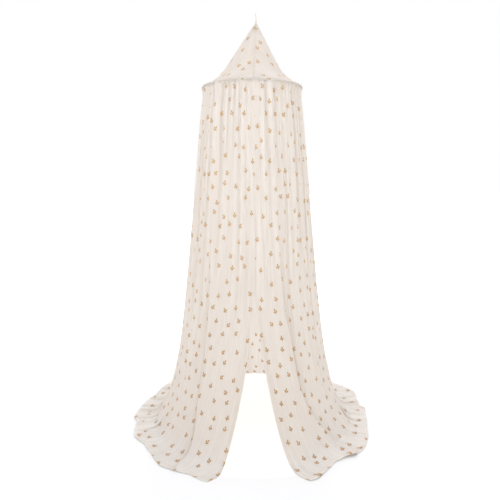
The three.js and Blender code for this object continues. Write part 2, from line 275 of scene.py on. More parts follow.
def sprig_print(tree, cloth_place):
    """1 where a small three-leaved sprig is printed. The sprigs lie in a brick layout, each tossed
    and turned a little."""
    u, v, _ = add_node(tree, "ShaderNodeSeparateXYZ", [cloth_place])
    row = add_node(tree, "ShaderNodeMath", [v, sprig_pitch[1]], operation="DIVIDE")[0]
    row = add_node(tree, "ShaderNodeMath", [row], operation="FLOOR")[0]
    odd_row = add_node(tree, "ShaderNodeMath", [row, 1], operation="PINGPONG")[0]
    shifted = add_node(tree, "ShaderNodeMath", [odd_row, sprig_pitch[0] / 2, u],
                       operation="MULTIPLY_ADD")[0]
    column = add_node(tree, "ShaderNodeMath", [shifted, sprig_pitch[0]], operation="DIVIDE")[0]
    column = add_node(tree, "ShaderNodeMath", [column], operation="FLOOR")[0]
    cell = add_node(tree, "ShaderNodeCombineXYZ", [column, row])[0]
    toss = add_node(tree, "ShaderNodeTexWhiteNoise", [cell], noise_dimensions="2D")["Color"]
    toss = add_node(tree, "ShaderNodeVectorMath", [toss, (0.5, 0.5, 0.5)], operation="SUBTRACT")[0]
    middle = add_node(tree, "ShaderNodeVectorMath",
                      [cell, (*sprig_pitch, 0), (sprig_pitch[0] / 2, sprig_pitch[1] / 2, 0)],
                      operation="MULTIPLY_ADD")[0]
    middle = add_node(tree, "ShaderNodeVectorMath", [toss, (*sprig_toss, 0), middle],
                      operation="MULTIPLY_ADD")[0]
    place = add_node(tree, "ShaderNodeCombineXYZ", [shifted, v])[0]
    place = add_node(tree, "ShaderNodeVectorMath", [place, middle], operation="SUBTRACT")[0]
    turn = add_node(tree, "ShaderNodeSeparateXYZ", [toss])["Z"]
    turn = add_node(tree, "ShaderNodeMath", [turn, 2 * sprig_turn], operation="MULTIPLY")[0]
    place = add_node(tree, "ShaderNodeVectorRotate", {"Vector": place, "Angle": turn},
                     rotation_type="Z_AXIS")[0]
    # Each part is an oval: nought on its edge, and rising to 1 at its middle
    inside = -1
    for centre, half, lean in sprig_parts:
        oval = add_node(tree, "ShaderNodeMapping", [place, (*centre, 0), (0, 0, lean), (*half, 1)],
                        vector_type="TEXTURE")[0]
        oval = add_node(tree, "ShaderNodeVectorMath", [oval, oval],
                        operation="DOT_PRODUCT")["Value"]
        oval = add_node(tree, "ShaderNodeMath", [1, oval], operation="SUBTRACT")[0]
        inside = add_node(tree, "ShaderNodeMath", [inside, oval], operation="MAXIMUM")[0]
    return add_node(tree, "ShaderNodeMapRange", [inside, *ink_range])[0]


def muslin(name, printed=True, let_through=0.62, ground=(muslin_colour, muslin_shade)):
    """Woven cotton on the piece's own cloth coordinates, stitched along its hems and seams."""
    material = new_material(name)
    tree = material.node_tree
    cloth_place = add_node(tree, "ShaderNodeUVMap", uv_map="cloth")[0]
    waves = add_node(tree, "ShaderNodeVectorMath", [cloth_place, [2 * math.pi / thread_pitch] * 3],
                     operation="MULTIPLY")[0]
    waves = add_node(tree, "ShaderNodeVectorMath", [waves], operation="SINE")[0]
    warp, weft, _ = add_node(tree, "ShaderNodeSeparateXYZ", [waves])
    weave = add_node(tree, "ShaderNodeMath", [warp, weft], operation="MULTIPLY")[0]
    patterns = []
    for width, length, detail, roughness in (
        slub_pattern, crumple_pattern, crease_pattern, tuck_pattern,
    ):
        drawn = add_node(tree, "ShaderNodeMapping",
                         {"Vector": cloth_place, "Scale": (1 / width, 1 / length, 1)})[0]
        noise = {"Vector": drawn, "Scale": 1, "Detail": detail, "Roughness": roughness}
        patterns.append(add_node(tree, "ShaderNodeTexNoise", noise)[0])
    slubs, crumple, creases, tucks = patterns
    # The tucks and creases are pressed in from the ring seam and fall out on the way down
    down = add_node(tree, "ShaderNodeSeparateXYZ", [cloth_place])["Y"]
    pressed = add_node(tree, "ShaderNodeMapRange", [down, *pressed_places, *pressed_shares])[0]
    # Painted shade in bands where the pressed tucks lie
    tuck_shade = add_node(tree, "ShaderNodeMapRange", [tucks, *tuck_range])[0]
    tuck_shade = add_node(tree, "ShaderNodeMath", [tuck_shade, pressed], operation="MULTIPLY")[0]
    # Uneven colour: the slubs' is the cloth's own, and the creases' darker streaks are painted
    # shade
    tone = add_node(tree, "ShaderNodeMath", [creases, crease_tone], operation="MULTIPLY")[0]
    tone = add_node(tree, "ShaderNodeMath", [slubs, slub_tone, tone], operation="MULTIPLY_ADD")[0]
    tone = add_node(tree, "ShaderNodeMapRange", [tone, *tone_range])[0]
    # Where the cloth turns into a fold it lies several layers deep; the shade there, and beside a
    # long pleat's steep side, is painted into its colour, warmer and darker
    folded = add_node(tree, "ShaderNodeAttribute", attribute_name="folded")["Fac"]
    sewn = add_node(tree, "ShaderNodeAttribute", attribute_name="sewn")["Vector"]
    from_hem, from_seam, along = add_node(tree, "ShaderNodeSeparateXYZ", [sewn])
    sewn_lines = 0
    for distance, line in ((from_hem, hem_line), *((from_seam, line) for line in seam_lines)):
        sewn_line = add_node(tree, "ShaderNodeMath", [distance, line, thread_half],
                             operation="COMPARE")[0]
        sewn_lines = add_node(tree, "ShaderNodeMath", [sewn_lines, sewn_line],
                              operation="MAXIMUM")[0]
    stitch = add_node(tree, "ShaderNodeMath", [along, stitch_length], operation="DIVIDE")[0]
    stitch = add_node(tree, "ShaderNodeMath", [stitch], operation="FRACT")[0]
    stitch = add_node(tree, "ShaderNodeMath", [stitch, stitch_share], operation="LESS_THAN")[0]
    stitch = add_node(tree, "ShaderNodeMath", [sewn_lines, stitch], operation="MULTIPLY")[0]
    tints = [(tone, ground[1]), (tuck_shade, muslin_tuck_shade), (folded, muslin_folded),
             (stitch, thread_colour)]
    # Painted light and shade: the print's colour is paler high up and deeper towards the hem
    if printed:
        ink = add_node(tree, "ShaderNodeMix", {0: pressed, 6: print_deep, 7: print_colour},
                       data_type="RGBA")[2]
        inked = add_node(tree, "ShaderNodeMath", [sprig_print(tree, cloth_place), ink_strength],
                         operation="MULTIPLY")[0]
        tints.insert(2, (inked, ink))
    colour = ground[0]
    for share, tint in tints:
        colour = add_node(tree, "ShaderNodeMix", {0: share, 6: colour, 7: tint},
                          data_type="RGBA")[2]
    pressed_creases = add_node(tree, "ShaderNodeMath", [creases, pressed], operation="MULTIPLY")[0]
    relief = 0
    for form, depth in ((weave, weave_depth), (slubs, slub_depth), (crumple, crumple_depth),
                        (pressed_creases, crease_depth), (sewn_lines, -stitch_depth)):
        relief = add_node(tree, "ShaderNodeMath", [form, depth, relief],
                          operation="MULTIPLY_ADD")[0]
    bump = add_node(tree, "ShaderNodeBump",
                    {"Height": relief, "Strength": relief_strength, "Distance": 1})[0]
    # Washed cotton is matt, with a faint sheen from its fibres, and glows with what comes through
    face = add_node(tree, "ShaderNodeBsdfPrincipled",
                    {"Base Color": colour, "Normal": bump, "Roughness": 0.94, "Sheen Weight": 0.12,
                     "Sheen Roughness": 0.6, "Specular IOR Level": 0.18})[0]
    through = add_node(tree, "ShaderNodeBsdfTranslucent", {"Color": colour, "Normal": bump})[0]
    both = add_node(tree, "ShaderNodeMixShader", [let_through, face, through])[0]
    add_node(tree, "ShaderNodeOutputMaterial", [both])
    return material


printed_muslin = muslin("printed_muslin")

ring_cloth_radius = 0.2494
ring_level = hoop_centre.z - floor_level
seam_gap = 0.0003
wall_drop = 0.05
neck_depth = 0.0045
wall_spread = 0.1
floor_flare = 0.095
back_flare = floor_flare * 0.62
flare_height = 0.193
bend_level = 0.09
lying_level = 0.02
hem_radius = 0.628
lying_start = 0.546
back_lying_start = 0.486
knee_room = 0.01
cloth_thickness = 0.0009
hem_extra = 0.0009
hem_lift = 0.004
hem_width = 0.016
felled_width = 0.010
edge_easing = 0.002
slit_level = 0.75
slit_half_width = 0.156
slit_power = 1.18
slit_tip_start = 0.56
slit_tip_spread = 0.0395
panel_columns = 480
wall_rows, bend_rows, floor_rows = 56, 20, 24
row_crowding = 1.18


def smooth(start, end, value):
    """0 before start, 1 after end, and an even curve between them."""
    share = np.clip((value - start) / (end - start), 0, 1)
    return share * share * (3 - 2 * share)


def wall_radius(level, flare):
    """The curtain's outside radius at a height above the floor."""
    fall = ring_level - level
    spread = wall_spread * (fall - wall_drop * (1 - np.exp(-fall / wall_drop)))
    flared = np.exp(-level / flare_height) - math.exp(-ring_level / flare_height)
    return ring_cloth_radius + spread + flare * flared


def fall_line(start, flare):
    """The line down the cloth: radius and level, row by row, for one lying start and wall flare."""
    top = ring_level - seam_gap
    share = np.linspace(0, 1, wall_rows, endpoint=False)
    level = bend_level + (top - bend_level) * (1 - share**row_crowding)
    bend_radius = wall_radius(bend_level, flare)
    slope = wall_spread + flare / flare_height * math.exp(-bend_level / flare_height)
    rest = cloth_thickness / 2
    t = np.linspace(0, 1, bend_rows, endpoint=False)
    knee = min(bend_radius + slope * bend_level, start - knee_room)
    bend = (1 - t) ** 2 * bend_radius + 2 * t * (1 - t) * knee + t * t * start
    bend_fall = (1 - t) ** 2 * bend_level + (1 - (1 - t) ** 2) * rest
    out = np.linspace(0, 1, floor_rows)
    radius = np.concatenate([wall_radius(level, flare), bend, start + out * (hem_radius - start)])
    return radius, np.concatenate([level, bend_fall, np.full(floor_rows, rest)])


# The back falls straighter than the sides and front, and so lies further along the floor
side_radius, fall_level = fall_line(lying_start, floor_flare)
back_radius, _ = fall_line(back_lying_start, back_flare)
rows = len(side_radius)
floor_from = wall_rows + bend_rows
run_r, run_z = np.gradient(side_radius), np.gradient(fall_level)
run = np.hypot(run_r, run_z)
normal_out, normal_up = (-run_z / run)[:, None], (run_r / run)[:, None]
fall_steps = np.hypot(np.diff(side_radius), np.diff(fall_level))
fall_length = np.concatenate([[0], np.cumsum(fall_steps)])
down_row, level_row = fall_length[:, None], fall_level[:, None]
# A row's place: its height above the floor, and below nought how far out along the floor it lies
place_row = np.where(np.arange(rows) < floor_from, fall_level, lying_start - side_radius)
lying_row = smooth(bend_level, lying_level, level_row)

# A fold is two flanks: the cloth turns one way and back, with these sums over a flank of unit width
flank_apart = 1.2
flank_reach = 2.4
edge_fade = (0.55, 1.05)
quarter = math.pi / 2
flank_steps = np.linspace(-4, 4, 161)
flank_shape = np.exp(-flank_steps**2 / 2)
flank_angles = np.linspace(0, 2.2, 111)
flank_rise = np.array([np.trapz(np.sin(a * flank_shape), flank_steps) for a in flank_angles])
flank_hidden = np.array([np.trapz(1 - np.cos(a * flank_shape), flank_steps) for a in flank_angles])
steepest = int(np.argmax(flank_rise))


def by_place(value):
    """One number, or pairs of a row's place and a number, as a number for every row."""
    if np.isscalar(value):
        return np.full(rows, float(value))
    return np.interp(place_row, *zip(*sorted(value)))


class Fold:
    """A fold of the cloth that runs down it: its azimuth in degrees, its width and its steepness,
    each by place. A long pleat has painted shade on its steep side: 1 is its right, -1 its left."""

    def __init__(self, azimuth, width, steepness, before=1.0, after=1.0, inward=True, shaded=0):
        """Finds both flanks row by row; before and after say how much wider each of them is."""
        self.azimuth = np.radians(by_place(azimuth)) % (2 * math.pi)
        narrow, angle = by_place(width), by_place(steepness)
        flank_widths = narrow * by_place(before), narrow * by_place(after)
        self.gap = flank_apart * (flank_widths[0] + flank_widths[1])
        # A fold fades where it nears its panel's edge, so that it closes before it
        inside_panel = self.azimuth % quarter, quarter - self.azimuth % quarter
        beside = [room * side_radius / (self.gap / 2 + flank_reach * w)
                  for room, w in zip(inside_panel, flank_widths)]
        angle = angle * smooth(*edge_fade, np.minimum(*beside))
        rise = np.interp(angle, flank_angles, flank_rise) * narrow
        self.turn = -1 if inward else 1
        self.shaded = shaded
        # The wider flank turns less, so that both rise alike
        gentle = flank_rise[: steepest + 1], flank_angles[: steepest + 1]
        self.flanks = [(w, np.where(w > narrow * 1.01, np.interp(rise / w, *gentle), angle))
                       for w in flank_widths]
        self.hidden = sum(w * np.interp(a, flank_angles, flank_hidden) for w, a in self.flanks)


def tuck(top, low, fade, width, steepness, widening, easing):
    """A tuck that fades out round a height, with its azimuths at the ring and there."""
    between = ring_level * 0.4 + fade * 0.6
    return Fold([(ring_level, top), (fade, low)],
                [(ring_level, width), (fade - 0.3, width * widening)],
                [(ring_level, steepness), (between, steepness * 0.85), (fade, steepness * easing),
                 (fade - 0.35, steepness * 0.2), (fade - 0.6, 0)])


# Front tucks: azimuth at the ring and where they fade, in degrees, that height, width and steepness
front_tucks = [
    (3.0, 4.2, 0.50, 0.0075, 1.05), (7.4, 6.6, 0.70, 0.0055, 0.80),
    (11.8, 12.2, 1.22, 0.0065, 1.05), (23.0, 24.0, 1.02, 0.0062, 0.97),
    (27.0, 27.2, 1.36, 0.0050, 1.01), (31.4, 29.0, 0.56, 0.0075, 1.01),
    (36.4, 36.8, 1.12, 0.0058, 0.97), (41.0, 41.4, 1.42, 0.0052, 1.01),
    (46.0, 47.0, 0.88, 0.0070, 1.05), (52.4, 53.0, 1.24, 0.0060, 1.01),
    (58.0, 59.6, 0.42, 0.0075, 0.97), (64.6, 65.2, 1.08, 0.0060, 1.01),
    (71.0, 72.0, 0.80, 0.0070, 1.05), (78.0, 78.0, 1.26, 0.0060, 1.01),
    (84.2, 85.0, 0.64, 0.0070, 1.01), (-5.0, -5.0, 1.34, 0.0055, 0.97),
    (-9.4, -8.8, 0.82, 0.0065, 0.92), (-13.6, -16.0, 0.94, 0.0072, 1.05),
    (-19.8, -20.2, 1.30, 0.0060, 0.92), (-25.6, -25.4, 1.24, 0.0070, 1.05),
    (-34.0, -31.0, 1.08, 0.0072, 1.05), (-49.0, -47.0, 0.76, 0.0070, 1.01),
    (-55.6, -55.0, 1.20, 0.0060, 0.97), (-61.8, -60.0, 0.50, 0.0072, 1.01),
    (-68.0, -68.0, 1.14, 0.0065, 1.01), (-75.2, -75.0, 0.86, 0.0070, 1.01),
    (-82.6, -82.0, 1.26, 0.0060, 0.97),
]
folds = [tuck(*front_tuck, widening=1.3, easing=0.55) for front_tuck in front_tucks]

# Tucks round the sides and back, at uneven steps
chance = np.random.default_rng(7)
azimuth = 90.0
while azimuth < 268:
    fade = chance.choice([0.4, 0.7, 0.95, 1.2, 1.35], p=[0.12, 0.2, 0.24, 0.26, 0.18])
    fade += chance.uniform(-0.1, 0.1)
    width, steepness = chance.uniform(0.0055, 0.0078), chance.uniform(0.82, 1.08)
    low = azimuth + chance.uniform(-2, 2)
    folds.append(tuck(azimuth, low, fade, width, steepness, widening=1.4, easing=0.5))
    azimuth += chance.uniform(4.6, 8.6)

# The long pleats: in each leaf the part beside the opening lies over the part behind it
hem_place = -0.082
# Painted shadow beside a long pleat's steep side: its strength, its reach and its soft edge
pleat_shade = 0.3
pleat_shade_reach = 0.014
pleat_shade_edge = 0.01
right_pleat = [(ring_level, 17.2), (1.18, 18.6), (0.84, 19.0), (0.66, 21.0), (0.58, 23.0),
               (0.43, 25.3), (0.32, 27.2), (0.23, 29.7), (0.15, 34.6), (0.084, 39.9), (0.02, 44.6),
               (-0.03, 45.6), (hem_place, 44.4)]
left_pleat = [(ring_level, -43.4), (1.18, -39.6), (0.95, -38.3), (0.77, -35.6), (0.45, -35.8),
              (0.21, -36.4), (0.08, -34.8), (0.01, -36.0), (hem_place, -33.8)]
folds.append(Fold(
    right_pleat, [(ring_level, 0.007), (0.6, 0.0062), (0.1, 0.0080)],
    [(ring_level, 0.7), (1.2, 0.75), (0.6, 1.05), (0.2, 1.55), (0.0, 1.75), (-0.05, 1.5),
     (hem_place, 0.9)],
    before=[(1.3, 1.5), (0.9, 2.5), (0.6, 4.0), (0.25, 6.0)], inward=False, shaded=1))
folds.append(Fold(
    left_pleat, [(ring_level, 0.007), (0.6, 0.0058), (0.1, 0.0062)],
    [(ring_level, 0.7), (1.2, 0.75), (0.6, 1.15), (0.2, 1.25), (0.03, 0.85), (-0.05, 0.5),
     (hem_place, 0.3)],
    after=[(1.3, 1.5), (0.9, 3.0), (0.6, 4.5), (0.25, 6.0)], inward=False, shaded=-1))

# Broad soft folds, and the fine ruffles of the cloth that lies on the floor beside and behind
azimuth = -170.0
while azimuth < 180:
    high = chance.uniform(0.9, 1.5)
    steepness = chance.uniform(0.09, 0.22)
    low = azimuth + chance.uniform(-5, 5)
    folds.append(Fold([(ring_level, azimuth), (0, low)], chance.uniform(0.024, 0.040),
                      [(high + 0.1, 0), (high - 0.5, steepness), (0.15, steepness * 0.8),
                       (0.0, 0.03), (-0.08, 0.02)]))
    azimuth += chance.uniform(11, 21)
for side in (1, -1):
    azimuth = 58.0
    while azimuth < 176:
        strength = smooth(56, 74, azimuth) * (1 - 0.75 * smooth(125, 160, azimuth))
        strength *= chance.uniform(0.35, 1.0)
        outward = chance.uniform(0.25, 1.0)
        begins = chance.uniform(0.05, 0.13)
        start = azimuth + chance.uniform(-1.5, 1.5)
        folds.append(Fold([(0.1, side * start), (hem_place, side * azimuth)],
                          [(0.1, 0.0048), (hem_place, chance.uniform(0.0050, 0.0068))],
                          [(begins + 0.03, 0), (begins * 0.4, 1.05 * strength),
                           (-0.03, 0.95 * strength * outward + 0.1),
                           (hem_place, 0.75 * strength * outward + 0.05)], inward=False))
        azimuth += chance.uniform(1.7, 3.1)


def slit_angle(radius, level):
    """Half the front opening's angle: none above its top, and widening down and outward."""
    widest = slit_half_width / lying_start
    rounded = np.clip((radius - slit_tip_start) / (hem_radius - slit_tip_start), 0, 1) ** 2
    narrowed = np.maximum(1 - level / slit_level, 0) ** slit_power
    return widest * narrowed + slit_tip_spread / hem_radius * rounded


# Each row of each panel: the folds' places in the cloth, the cloth's turning, its path round, and
# the painted shade where it turns steeply and beside the long pleats
fold_shade_levels = [(-0.05, 0.66), (0.3, 0.42), (1.2, 0.22), (1.7, 0.05)]
tinted_turning = (0.4, 1.3)
open_angle = slit_angle(side_radius, fall_level)
cloth_columns = panel_columns + 1
panels = []
for panel in range(4):
    margin = seam_gap / 2 / side_radius
    start = panel * quarter + margin + (open_angle if panel == 0 else 0)
    end = (panel + 1) * quarter - margin - (open_angle if panel == 3 else 0)
    here = [f for f in folds if panel * quarter <= f.azimuth[rows // 2] < (panel + 1) * quarter]
    here.sort(key=lambda f: f.azimuth[0])
    hidden = np.array([f.hidden for f in here])
    spread = np.array([f.azimuth for f in here])
    room = (end - start) * side_radius
    width = room + hidden.sum(axis=0)
    cloth = np.linspace(0, 1, cloth_columns)[None, :] * width[:, None]
    turning = np.zeros((rows, cloth_columns))
    shade = np.zeros((rows, cloth_columns))
    for index, fold in enumerate(here):
        before = (hidden * (spread < spread[index])).sum(axis=0) + fold.hidden / 2
        middle = (np.clip(fold.azimuth, start, end) - start) * side_radius + before
        for flank, (flank_width, flank_angle) in enumerate(fold.flanks):
            centre = middle + (flank - 0.5) * fold.gap
            bell = np.exp(-0.5 * ((cloth - centre[:, None]) / flank_width[:, None]) ** 2)
            turning += (fold.turn if flank == 0 else -fold.turn) * flank_angle[:, None] * bell
            # Painted shadow on the cloth beside the steep flank of a long pleat
            if fold.shaded == 2 * flank - 1:
                beside = (cloth - centre[:, None]) * fold.shaded
                fading = np.exp(-np.maximum(beside, 0) / pleat_shade_reach)
                shade += flank_angle[:, None] * fading * smooth(-pleat_shade_edge, 0, beside)
    step = width[:, None] / panel_columns
    middle_turning = (turning[:, 1:] + turning[:, :-1]) / 2
    none = np.zeros((rows, 1))
    travelled = np.concatenate([none, np.cumsum(np.cos(middle_turning), axis=1)], axis=1) * step
    relief = np.concatenate([none, np.cumsum(np.sin(middle_turning), axis=1)], axis=1) * step
    relief -= relief[:, -1:] * cloth / width[:, None]
    angle = start[:, None] + travelled / travelled[:, -1:] * (end - start)[:, None]
    folded = by_place(fold_shade_levels)[:, None] * smooth(*tinted_turning, abs(turning))
    folded = folded + pleat_shade * shade * smooth(1.0, 0.6, level_row)
    panels.append({"angle": angle, "relief": relief, "width": width, "cloth": cloth,
                   "folded": folded})

angle = np.concatenate([p["angle"] for p in panels], axis=1)
relief = np.concatenate([p["relief"] for p in panels], axis=1)


def blurred(field, reach):
    """The field smoothed round the cloth, all the way round."""
    weights = np.exp(-0.5 * (np.arange(-3 * reach, 3 * reach + 1) / reach) ** 2)
    padded = np.pad(field, ((0, 0), (3 * reach, 3 * reach)), mode="wrap")
    return np.array([np.convolve(row, weights / weights.sum(), mode="valid") for row in padded])


# On the wall the folds go in from the outside line; on the floor they stand up from it. They start
# shallow in the ring seam, and just below it the cloth is drawn in to a neck.
hollow_columns = 26
hollow_depth = 1.5
seam_relief, seam_depth = 0.25, 0.02
neck_top, neck_foot = (0.002, 0.02), (0.14, 0.05)
hollow = blurred(np.minimum(relief, 0) ** 2, hollow_columns)
hollow = np.sqrt(np.maximum(hollow, 0)) * hollow_depth
standing = np.maximum(relief + hollow, 0)
offset = relief * (1 - lying_row) + standing * lying_row
offset *= seam_relief + (1 - seam_relief) * smooth(0, seam_depth, down_row)
offset -= neck_depth * smooth(*neck_top, down_row) * smooth(*neck_foot, down_row)

# The panels meet edge to edge. At the front above the opening the left one laps the right one.
lap_reach = 0.010
lap_inward = -0.0055
lap_outward = 0.0018
lap_start, lap_easing = (1.25, 1.0), (0.75, 0.3)
lap = smooth(*lap_start, level_row) * (1 - 0.6 * smooth(*lap_easing, level_row)) * (1 - lying_row)
from_front = np.minimum(angle, 2 * math.pi - angle)
from_edge = from_front * side_radius[:, None] - open_angle[:, None] * side_radius[:, None]
near_front = np.exp(-np.maximum(from_edge, 0) / lap_reach)
offset += lap * near_front * np.where(angle < math.pi, lap_inward, lap_outward)

# The hem's reach along the floor, in metres from the middle, by azimuth in degrees
hem_reach = [(-180, 0.615), (-160, 0.630), (-140, 0.610), (-125, 0.620), (-108, 0.600),
             (-102, 0.620), (-93, 0.625), (-86, 0.640), (-80, 0.620), (-68, 0.645), (-60, 0.620),
             (-52, 0.625), (-42, 0.650), (-28, 0.625), (-22, 0.640), (-17, 0.640), (17, 0.650),
             (23, 0.655), (30, 0.625), (37, 0.605), (42, 0.615), (46, 0.640), (53, 0.650),
             (64, 0.635), (71, 0.620), (84, 0.620), (90, 0.635), (93, 0.610), (101, 0.630),
             (108, 0.660), (122, 0.610), (138, 0.625), (158, 0.610), (180, 0.615)]
reach_power = 1.5
back_from, back_to = math.radians(112), math.radians(165)
degrees = np.degrees((angle + math.pi) % (2 * math.pi) - math.pi)
reach = np.interp(degrees, *zip(*hem_reach))
backness = smooth(back_from, back_to, from_front)
base_radius = side_radius[:, None] * (1 - backness) + back_radius[:, None] * backness
lying_from = lying_start + (back_lying_start - lying_start) * backness
lying_length = hem_radius - lying_start + (lying_start - back_lying_start) * backness
out_share = np.clip((base_radius - lying_from) / lying_length, 0, 1)
cloth_radius = base_radius + (reach - hem_radius) * out_share**reach_power + offset * normal_out
cloth_level = np.maximum(level_row + offset * normal_up, cloth_thickness / 2 * (1 + lying_row))
# The hem lifts off the floor a few millimetres in uneven waves
least_lift = 0.15
lifted = (0.45 + 0.3 * np.sin(5 * angle + 0.6)
          + 0.25 * np.sin(13 * angle + 2 * np.sin(3 * angle)))
cloth_level += hem_lift * np.maximum(lifted, least_lift) * smooth(0.35, 1.0, out_share)
cloth_points = np.stack([
    hoop_centre.x + cloth_radius * np.sin(angle),
    hoop_centre.y - cloth_radius * np.cos(angle),
    floor_level + cloth_level,
], axis=2)


def sheet_mesh(name, points, place, sewn, thick, material, plain_thickness, sewn_thickness,
               folded=None):
    """A cloth piece from rows of points, with cloth coordinates, stitch lines, and a thickness that
    goes from plain_thickness where thick is 0 to sewn_thickness where it is 1."""
    down, across = points.shape[:2]
    index = np.arange(down * across).reshape(down, across)
    faces = np.stack([index[:-1, :-1], index[1:, :-1], index[1:, 1:], index[:-1, 1:]], axis=2)
    mesh = bpy.data.meshes.new(name)
    mesh.from_pydata(points.reshape(-1, 3).tolist(), [], faces.reshape(-1, 4).tolist())
    corner = np.empty(len(mesh.loops), dtype=np.int32)
    mesh.loops.foreach_get("vertex_index", corner)
    layer = mesh.uv_layers.new(name="cloth")
    layer.data.foreach_set("uv", place.reshape(-1, 2)[corner].astype(np.float32).ravel())
    stitched = mesh.attributes.new("sewn", "FLOAT_VECTOR", "POINT")
    stitched.data.foreach_set("vector", sewn.reshape(-1).astype(np.float32))
    # The painted fold shade, which the muslin's colour reads
    if folded is not None:
        tinted = mesh.attributes.new("folded", "FLOAT", "POINT")
        tinted.data.foreach_set("value", folded.ravel().astype(np.float32))
    mesh.materials.append(material)
    obj = bpy.data.objects.new(name, mesh)
    bpy.context.collection.objects.link(obj)
    group = obj.vertex_groups.new(name="thick")
    full = plain_thickness / sewn_thickness
    levels = np.round(full + (1 - full) * np.clip(thick.ravel(), 0, 1), 2)
    for value in np.unique(levels):
        group.add(np.flatnonzero(levels == value).tolist(), float(value), "REPLACE")
    bpy.ops.object.select_all(action="DESELECT")
    obj.select_set(True)
    bpy.context.view_layer.objects.active = obj
    wall = obj.modifiers.new("thickness", "SOLIDIFY")
    wall.thickness = sewn_thickness
    wall.offset = 0
    wall.vertex_group = "thick"
    bpy.ops.object.modifier_apply(modifier="thickness")
    bpy.ops.object.shade_smooth()
    return obj


def sewn_edges(hems, seams, along):
    """The distances from a sheet's hems and seams and the place along them, as its sewn attribute,
    and where it is thick with turned cloth."""
    far = np.full(along.shape, 1.0)
    from_hem = np.minimum.reduce([far, *hems])
    from_seam = np.minimum.reduce([far, *seams])
    thick = np.maximum(
        1 - smooth(hem_width - edge_easing, hem_width + edge_easing, from_hem),
        1 - smooth(felled_width - edge_easing, felled_width + edge_easing, from_seam))
    return np.stack([from_hem, from_seam, along], axis=2), thick


# Each width is cut further along the cloth, so no two have their print in the same places
cut_pitch = 1.31
even_share = 0.4
gathered_levels = (0.1, 1.3)
panel_names = ["curtain_front_right", "curtain_back_right", "curtain_back_left",
               "curtain_front_left"]
curtain_pieces = {}
for panel, node_name in enumerate(panel_names):
    part = slice(panel * cloth_columns, (panel + 1) * cloth_columns)
    cloth, width = panels[panel]["cloth"], panels[panel]["width"]
    # Gathers too fine to draw take up part of the width near the ring
    drawn_in = width[floor_from] / width[:, None]
    drawn_in = drawn_in ** (1 - even_share * smooth(*gathered_levels, level_row))
    across = (cloth - width[:, None] / 2) * drawn_in
    down = down_row + (reach[:, part] - hem_radius) * out_share[:, part]
    place = np.stack([across + panel * cut_pitch, -down], axis=2)
    left_edge, right_edge = cloth, width[:, None] - cloth
    from_bottom = down[-1:, :] - down
    above_slit = np.where(level_row < slit_level, 0, level_row - slit_level)
    leaf_hem = {0: [left_edge + above_slit], 3: [right_edge + above_slit]}.get(panel, [])
    seams = {0: [right_edge], 3: [left_edge]}.get(panel, [left_edge, right_edge])
    along = np.where(from_bottom < hem_width, across, down)
    sewn, thick = sewn_edges([from_bottom] + leaf_hem, seams, along)
    piece = sheet_mesh(node_name + "_cloth", cloth_points[:, part], place, sewn, thick,
                       printed_muslin, cloth_thickness, cloth_thickness + hem_extra,
                       panels[panel]["folded"])
    curtain_pieces[node_name] = piece
    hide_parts(node_name)

# A leaf turns from just in front of its side seam. The front pieces keep their place baked into
# their meshes; behind them the cloth goes with the back.
for word in ("left", "right"):
    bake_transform(curtain_pieces[f"curtain_front_{word}"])
    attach(curtain_pieces[f"curtain_back_{word}"], "crown_and_back")


# Crown: two half cones of the same muslin, smooth and lined, joined by felled seams at front and
# back. Their lower edges wrap the hoop and end in the ring seam, over the curtain's gathered top.
hoop_radius = 0.2425
wrap_radius = 0.0069
wrap_start = math.pi * 0.38
wrap_end = -0.17
tip_radius = 0.00527
crown_height = 0.304
crown_lean = 0.018
crown_lean_power = 1.3
crown_straight_share = 0.75
crown_flare_power = 10
lined_thickness = 0.0013
# Painted shade: the crown's muslin is a darker, warmer and greyer copy of the curtain's, for the
# light that its lining holds back
crown_shaded_colour = "#F8F5F2"
crown_shaded_tone = "#F1EDE8"
# The cloth's slack waves round a gore: depth, waves in a full turn, start, and shift to its side
slack_waves = [(0.0011, 5, 1.3, 1), (0.0008, 11, 0, 2), (0.0005, 23, 0.7, 0)]
pucker_depth = 0.0004
puckers_round = 96
groove_depth = 0.0003
groove_width = 0.003
seam_flat = 0.02
ring_seam_inset = 0.004
felled_share = 0.2
gore_cut_shift = 0.7
cone_rows, wrap_rows, gore_columns = 46, 10, 150
tip_level = ring_level + crown_height
cone_end_radius = hoop_radius + wrap_radius * math.cos(wrap_start)
cone_end_level = ring_level + wrap_radius * math.sin(wrap_start)


def crown_line(share):
    """The crown's radius and level, 0 to 1 down the cone."""
    bowed = (crown_straight_share * share
             + (1 - crown_straight_share) * share**crown_flare_power)
    return (tip_radius + (cone_end_radius - tip_radius) * bowed,
            tip_level + (cone_end_level - tip_level) * share)


def lean_at(level):
    """How far the crown leans to the right at a level."""
    share = np.maximum((level - cone_end_level) / (tip_level - cone_end_level), 0)
    return crown_lean * share**crown_lean_power


crown_muslin = muslin("crown_muslin", ground=(crown_shaded_colour, crown_shaded_tone))
cone_radius, cone_level = crown_line(np.linspace(0, 1, cone_rows, endpoint=False))
wrap_turn = np.linspace(wrap_start, wrap_end, wrap_rows)
wrap_line = hoop_radius + wrap_radius * np.cos(wrap_turn)
crown_radius = np.concatenate([cone_radius, wrap_line])[:, None]
crown_level = np.concatenate([cone_level, ring_level + wrap_radius * np.sin(wrap_turn)])[:, None]
crown_run = np.hypot(np.diff(crown_radius[:, 0]), np.diff(crown_level[:, 0]))
crown_down = np.concatenate([[0], np.cumsum(crown_run)])[:, None]
slant = crown_down + tip_radius * crown_down[-1] / (hoop_radius + wrap_radius - tip_radius)
slant_run = np.gradient(crown_radius[:, 0]), np.gradient(crown_level[:, 0])
slant_size = np.hypot(*slant_run)
crown_out, crown_up = (-slant_run[1] / slant_size)[:, None], (slant_run[0] / slant_size)[:, None]
gore_turn = (hoop_radius + wrap_radius) / float(slant[-1, 0])
